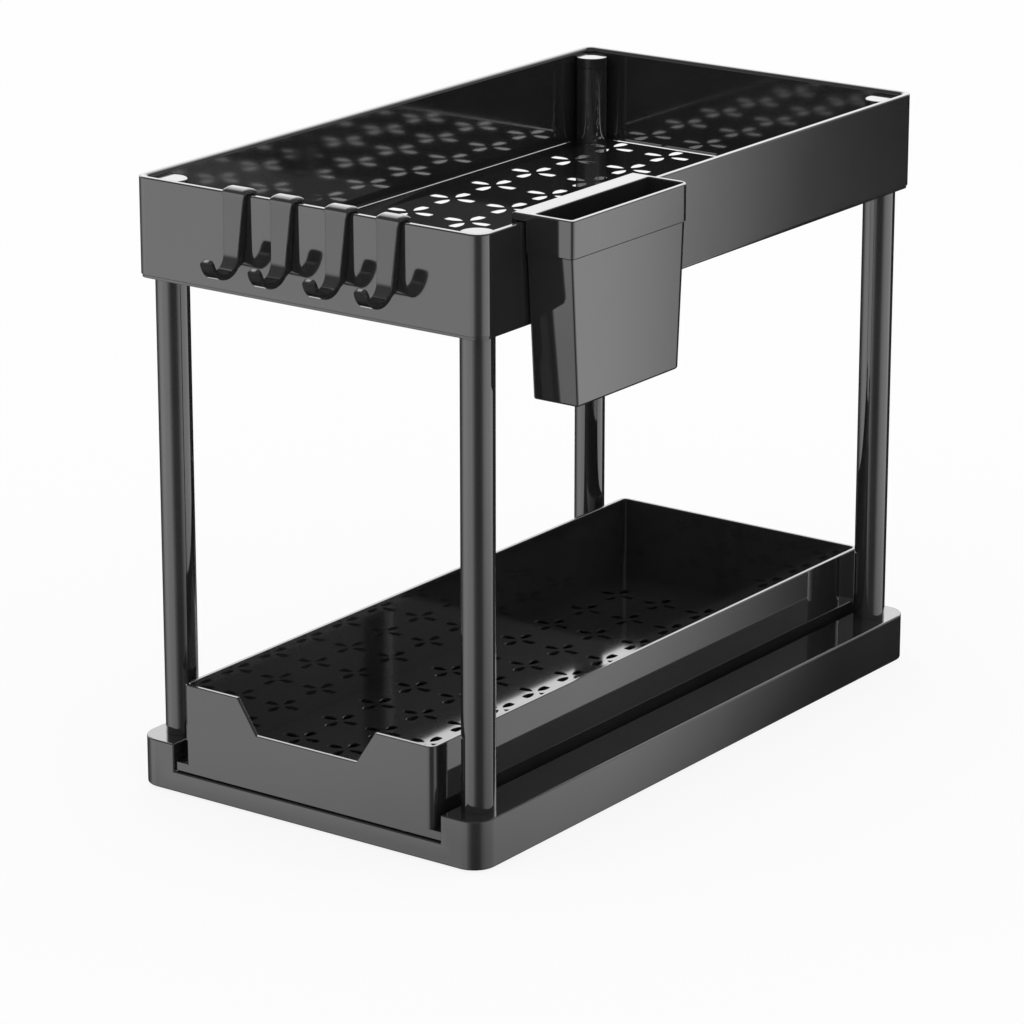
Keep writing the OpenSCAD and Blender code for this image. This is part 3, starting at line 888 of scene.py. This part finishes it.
def hook_strap(x, face_y, rim_z):
    """The strap over the rim, arched across its top, split where its two legs start."""
    inner_y = face_y + TRAY_WALL + HOOK_GAP + CLIP_THICK
    outer_y = face_y - HOOK_GAP - STRAP_THICK
    base_z = rim_z + HOOK_GAP
    strap = block("hook_piece", (x - STRAP_HALF, outer_y, base_z),
                  (x + STRAP_HALF, inner_y, base_z + STRAP_THICK))
    middle_y, half = (inner_y + outer_y) / 2, (inner_y - outer_y) / 2
    arch = [middle_y + half * math.sin(math.radians(a)) for a in STRAP_ARCH]
    edit(strap)
    for y in arch + [face_y + TRAY_WALL + HOOK_GAP, face_y - HOOK_GAP]:
        bpy.ops.mesh.select_all(action="SELECT")
        bpy.ops.mesh.bisect(plane_co=(x, y, rim_z), plane_no=(0, 1, 0))
    for inset in STRAP_CUTS:
        for side in (-1, 1):
            plane_x = x + side * (STRAP_HALF - inset * STRAP_SIDE)
            bpy.ops.mesh.select_all(action="SELECT")
            bpy.ops.mesh.bisect(plane_co=(plane_x, middle_y, rim_z), plane_no=(1, 0, 0))
    mesh = bmesh.from_edit_mesh(strap.data)
    for vert in mesh.verts:
        if vert.co.z > base_z + NEAR:
            across = min(1, abs(vert.co.y - middle_y) / half)
            aside = max(0, (abs(vert.co.x - x) - STRAP_HALF) / STRAP_SIDE + 1)
            bulge = math.sqrt(1 - across ** 2) * math.sqrt(1 - (STRAP_FALL * aside) ** 2)
            vert.co.z = base_z + STRAP_EDGE + (STRAP_THICK - STRAP_EDGE) * bulge
    bmesh.update_edit_mesh(strap.data)
    return strap


def hook_width(depth):
    """Half the width of a hook at a depth below the rim."""
    slope = (SHOULDER_HALF - STRIP_HALF) / (BEND_DEPTH - SHOULDER_DEPTH)
    return SHOULDER_HALF - slope * (depth - SHOULDER_DEPTH)


def hook():
    """One hook at its first place, drawn out from its strap: clip inside the tray, strip, bend and tip."""
    low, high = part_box("hook_1")
    tray_low, tray_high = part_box("upper_tray")
    x = (low.x + high.x) / 2
    face_y, rim_z = tray_low.y, tray_high.z
    piece = hook_strap(x, face_y, rim_z)
    edit(piece)

    back_y = face_y - HOOK_GAP
    clip_y = face_y + TRAY_WALL + HOOK_GAP
    pick("faces", lambda f: faces_down(f) and middle(f).y > clip_y)
    draw_out((0, 0, -HOOK_GAP))
    draw_out((0, 0, -SHOULDER_DEPTH), (SHOULDER_HALF / STRAP_HALF, 1, 1), (x, clip_y, rim_z))
    clip_end = hook_width(CLIP_DEPTH) / SHOULDER_HALF
    draw_out((0, 0, SHOULDER_DEPTH - CLIP_DEPTH), (clip_end, 1, 1), (x, clip_y, rim_z))

    pick("faces", lambda f: faces_down(f) and middle(f).y < back_y and middle(f).z > rim_z)
    draw_out((0, 0, -HOOK_GAP))
    swell = (STRIP_THICK / STRAP_THICK - 1) * SHOULDER_DEPTH / BEND_DEPTH + 1
    draw_out((0, 0, -SHOULDER_DEPTH), (SHOULDER_HALF / STRAP_HALF, swell, 1), (x, back_y, rim_z))
    rest = STRIP_THICK / STRAP_THICK / swell
    draw_out((0, 0, SHOULDER_DEPTH - BEND_DEPTH), (STRIP_HALF / SHOULDER_HALF, rest, 1), (x, back_y, rim_z))
    bend = Vector((x, back_y - STRIP_THICK - BEND_RADIUS, rim_z - BEND_DEPTH))
    bpy.ops.mesh.bisect(plane_co=bend + Vector((0, BEND_RADIUS + BEND_THICK, 0)), plane_no=(0, 1, 0))
    pick("faces", lambda f: faces_down(f) and abs(middle(f).z - bend.z) < NEAR
         and middle(f).y < bend.y + BEND_RADIUS + BEND_THICK)
    bpy.ops.mesh.spin(steps=BEND_STEPS, angle=BEND_TURN, center=bend, axis=(1, 0, 0))
    outward = Vector((0, -math.sin(BEND_TURN), -math.cos(BEND_TURN)))
    turns = [math.radians(a) for a in (0, 15, 30, 45, 60, 75)]
    arch = [(math.sin(a) ** TIP_ROUNDNESS, math.cos(a) ** TIP_ROUNDNESS) for a in turns]
    for (rise, width), (next_rise, next_width) in zip(arch, arch[1:]):
        draw_out(TIP_LENGTH * (next_rise - rise) * outward, (next_width / width, 1, 1), bend)
    bpy.ops.mesh.select_all(action="SELECT")
    bpy.ops.mesh.remove_doubles(threshold=0.001 * MM)
    bpy.ops.mesh.normals_make_consistent(inside=False)
    mesh = bmesh.from_edit_mesh(piece.data)
    for vert in mesh.verts:
        ahead = bend.y + BEND_RADIUS - vert.co.y
        if vert.co.z < bend.z + TIP_ZONE and ahead > 0:
            vert.co.x = x + (vert.co.x - x) * (1 - TIP_NARROWING * min(1, ahead / (2 * BEND_RADIUS)))
    bmesh.update_edit_mesh(piece.data)
    object_mode()
    ease(piece, HOOK_SOFT, clamp=False)

    fillet_half = STRIP_HALF - FILLET_INSET
    fillet = block("fillet", (x - fillet_half, back_y - FILLET_THICK, bend.z - FILLET_DROP),
                   (x + fillet_half, back_y - FILLET_BACK, bend.z + MM))
    edit(fillet)
    pick("verts", lambda v: v.co.z < bend.z and v.co.y < back_y - MM)
    bpy.ops.transform.translate(value=(0, -FILLET_LEAN, 0))
    pick("verts", lambda v: v.co.z < bend.z and v.co.y > back_y - MM)
    bpy.ops.transform.translate(value=(0, 0, FILLET_LIFT))
    object_mode()
    ease(fillet, FILLET_SOFT)
    add(piece, fillet)
    smooth(piece, angle=35)
    return piece


def hooks():
    first = hook()
    paint(first, GLOSS)
    places = [sum(corner.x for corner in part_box("hook_%d" % i)) / 2 for i in (1, 2, 3, 4)]
    pieces = [first] + [twin(first, "hook_piece_%d" % i) for i in (2, 3, 4)]
    for i, (piece, place) in enumerate(zip(pieces, places), 1):
        shift(piece, (place - places[0], 0, 0))
        deliver(piece, "hook_%d_body" % i, "black_plastic", "hook_%d" % i)


# Stage

def blend(make, value, start, end, low=0.0, high=1.0, kind="SMOOTHSTEP"):
    """Runs from low to high while the value runs from start to end."""
    return make.node("ShaderNodeMapRange", {"interpolation_type": kind},
                     {0: value, 1: start, 2: end, 3: low, 4: high})


def choose(make, share, first, second):
    """The first value where the share is 0, and the second where it is 1."""
    return make.node("ShaderNodeMix", {"data_type": "FLOAT"}, {0: share, 2: first, 3: second})


def surroundings():
    """White all round. Gloss shows a studio: a panel on each side, a bright backdrop and a dark room."""
    world = bpy.data.worlds.new("studio")
    bpy.context.scene.world = world
    make = Maker(world)
    ray = make.node("ShaderNodeTexCoord", output="Generated")
    forward = make.node("ShaderNodeVectorMath", {"operation": "DOT_PRODUCT"}, {0: ray, 1: TO_CAMERA}, 1)
    sideways = make.node("ShaderNodeVectorMath", {"operation": "DOT_PRODUCT"}, {0: ray, 1: TO_RIGHT}, 1)
    rise = make.node("ShaderNodeSeparateXYZ", {}, {0: ray}, 2)
    turn = make.node("ShaderNodeMath", {"operation": "ARCTAN2"}, {0: sideways, 1: forward})

    # Panels around: the right one ends sharply, and all are dimmer at their foot and on the ground
    panels = make.node("ShaderNodeValToRGB", {"stops": [(a / 360 + 0.5, level / 2) for a, level in AROUND]},
                       {0: turn * (1 / math.tau) + 0.5})
    side_end = blend(make, turn, math.radians(109.4), math.radians(113.0), 1.0, 0.03)
    foot = blend(make, rise, -0.28, -0.345)
    on_right = blend(make, turn, 0.0, 0.5, 0.15, 0.38, "LINEAR")
    steep = blend(make, rise, -0.46, -0.66, 1.0, 0.13)
    ground = blend(make, rise, -0.347, -0.372, 1.0, 0.78, "LINEAR")
    sides = panels * side_end * steep * ground * (1 - foot * on_right)

    # Above them the room is dark, with a bright backdrop behind the object and a grey floor under it
    above = blend(make, rise, -0.19, 0.28)
    behind = blend(make, forward, -0.35, -0.75, 0.08, 0.83)
    under = blend(make, rise, -0.4, -0.5)
    away = blend(make, forward, -0.68, -0.8)
    low = choose(make, under * away, sides, 0.45)
    glossy_sky = choose(make, above, low, behind)
    glossy = make.node("ShaderNodeLightPath", output="Is Glossy Ray")
    strength = choose(make, glossy, 1.0, 2 * glossy_sky)
    sky = make.node("ShaderNodeBackground", {}, {"Color": (1, 1, 1, 1), "Strength": strength})
    make.node("ShaderNodeOutputWorld", {}, {"Surface": sky})


def pale_floor():
    """Pale floor that keeps a faint shadow, and is clear from below so that the underside shows."""
    object_mode()
    bpy.ops.object.select_all(action="DESELECT")
    bpy.ops.mesh.primitive_plane_add(size=FLOOR_SIZE, location=(0, 0, 0))
    floor = settle("floor")
    material = bpy.data.materials.new("pale_floor")
    make = Maker(material)
    path = make.node("ShaderNodeLightPath", output="Is Camera Ray")
    pale = make.node("ShaderNodeBsdfDiffuse", {}, {"Color": (0.92, 0.92, 0.92, 1)})
    white = make.node("ShaderNodeEmission", {}, {"Color": (1, 1, 1, 1), "Strength": 1.0})
    top = make.node("ShaderNodeMixShader", {}, {0: 0.86 * path, 1: pale, 2: white})
    clear = make.node("ShaderNodeBsdfTransparent", {}, {"Color": (1, 1, 1, 1)})
    below = make.node("ShaderNodeNewGeometry", output="Backfacing")
    shown = make.node("ShaderNodeMixShader", {}, {0: below, 1: top, 2: clear})
    make.node("ShaderNodeOutputMaterial", {}, {"Surface": shown})
    floor.data.materials.append(material)
    floor.visible_glossy = False


def camera():
    """Camera at the photograph's angle."""
    camera_data = bpy.data.cameras.new("camera")
    camera_data.lens = CAMERA_LENS
    camera_data.sensor_width = CAMERA_SENSOR
    eye = bpy.data.objects.new("camera", camera_data)
    eye.location = CAMERA_PLACE
    eye.rotation_euler = (math.pi / 2 - CAMERA_PITCH, 0, CAMERA_YAW)
    bpy.context.scene.collection.objects.link(eye)
    bpy.context.scene.camera = eye
    bpy.context.scene.view_settings.view_transform = "Standard"


upper_tray()
tray_floor()
legs()
caps()
base()
feet()
drawer()
drawer_floor()
cup()
hooks()
surroundings()
pale_floor()
camera()
